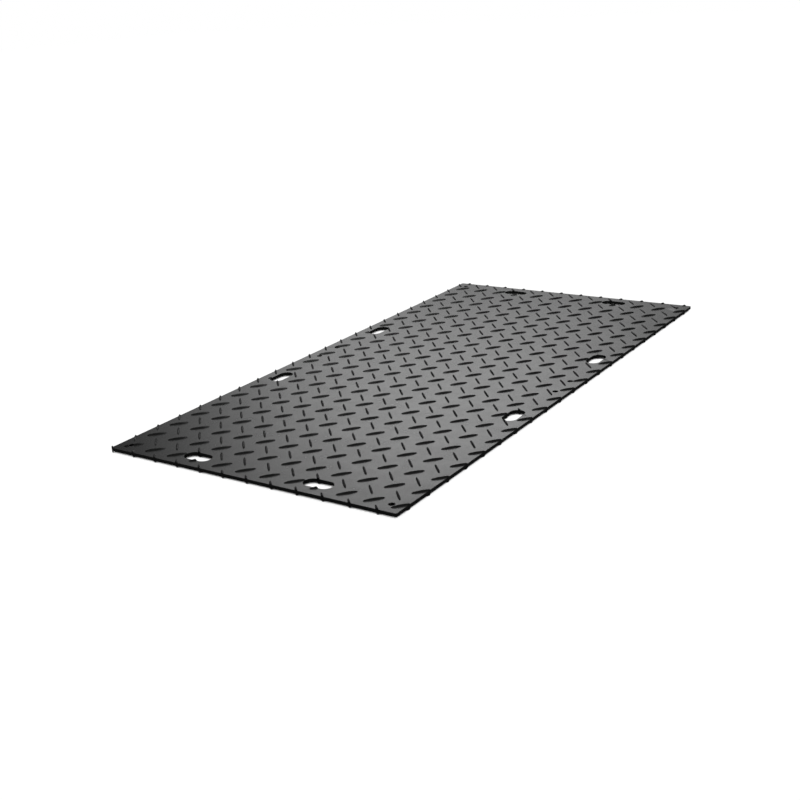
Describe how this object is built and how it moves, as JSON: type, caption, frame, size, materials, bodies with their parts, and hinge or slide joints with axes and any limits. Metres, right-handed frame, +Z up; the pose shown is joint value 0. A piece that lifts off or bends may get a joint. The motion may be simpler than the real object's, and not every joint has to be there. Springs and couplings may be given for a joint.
{
  "type": "ground protection mat",
  "caption": "Flat rectangular plastic ground protection mat with raised tread cleats on both faces, hand slots along the sides and pin holes near the edges.",
  "frame": {"origin": "under the middle of the mat, level with the crests of the underside cleats it rests on", "axes": "+X along the long side, +Y along the short side, +Z up through the thickness"},
  "size_m": [2.44, 1.22, 0.0247],
  "materials": {
    "mat_plastic": "near-black moulded polyethylene, satin, slightly mottled"
  },
  "bodies": {
    "root": {"ground_mat": "mat_plastic"}
  },
  "joints": []
}
